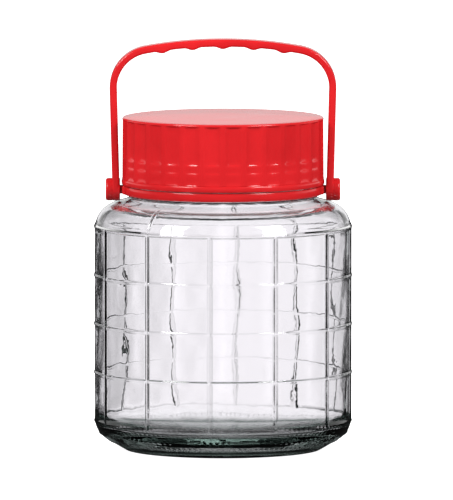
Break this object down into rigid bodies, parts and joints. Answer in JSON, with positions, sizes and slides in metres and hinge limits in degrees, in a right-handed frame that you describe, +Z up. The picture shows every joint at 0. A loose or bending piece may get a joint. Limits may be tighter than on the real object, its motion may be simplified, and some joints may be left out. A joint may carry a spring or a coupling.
{
  "type": "glass storage jar",
  "caption": "Round glass pickling jar with a raised window pattern, a fluted screw lid over an inner stopper and a swing handle on a neck collar.",
  "frame": {"origin": "centre of the circle that the jar stands on", "axes": "+Z up along the jar's axis, X along the handle's pivots, -Y towards the viewer"},
  "size_m": [0.1768, 0.1768, 0.2812],
  "materials": {
    "clear_glass": "clear pressed glass",
    "red_plastic": "glossy moulded polypropylene",
    "white_foam": "closed-cell polyethylene foam",
    "natural_plastic": "milky low-density polyethylene"
  },
  "bodies": {
    "jar": {"glass_jar": "clear_glass"},
    "collar": {"handle_collar": "red_plastic"},
    "handle": {"carry_handle": "red_plastic"},
    "disc": {"sealing_disc": "white_foam"},
    "lid": {"screw_lid": "red_plastic"},
    "stopper": {"inner_stopper": "natural_plastic"}
  },
  "joints": [
    {"name": "collar_turn", "type": "hinge", "parent": "jar", "child": "collar", "pos_m": [0, 0, 0.17805], "axis": [0, 0, 1], "continuous": true},
    {"name": "handle_swing", "type": "hinge", "parent": "collar", "child": "handle", "pos_m": [0, 0, 0.17805], "axis": [1, 0, 0], "range_deg": [-92, 92]},
    {"name": "lid_lift", "type": "slide", "parent": "jar", "child": "disc", "axis": [0, 0, 1], "range_m": [0, 0.03]},
    {"name": "lid_turn", "type": "hinge", "parent": "disc", "child": "lid", "pos_m": [0, 0, 0.2], "axis": [0, 0, 1], "range_deg": [0, 900]},
    {"name": "stopper_lift", "type": "slide", "parent": "jar", "child": "stopper", "axis": [0, 0, 1], "range_m": [0, 0.016]}
  ],
  "couplings": [
    {"joint": "lid_lift", "follows": "lid_turn", "m_per_rad": 0.0019099},
    {"joint": "stopper_lift", "follows": "lid_turn", "m_per_rad": 0.0010186}
  ]
}
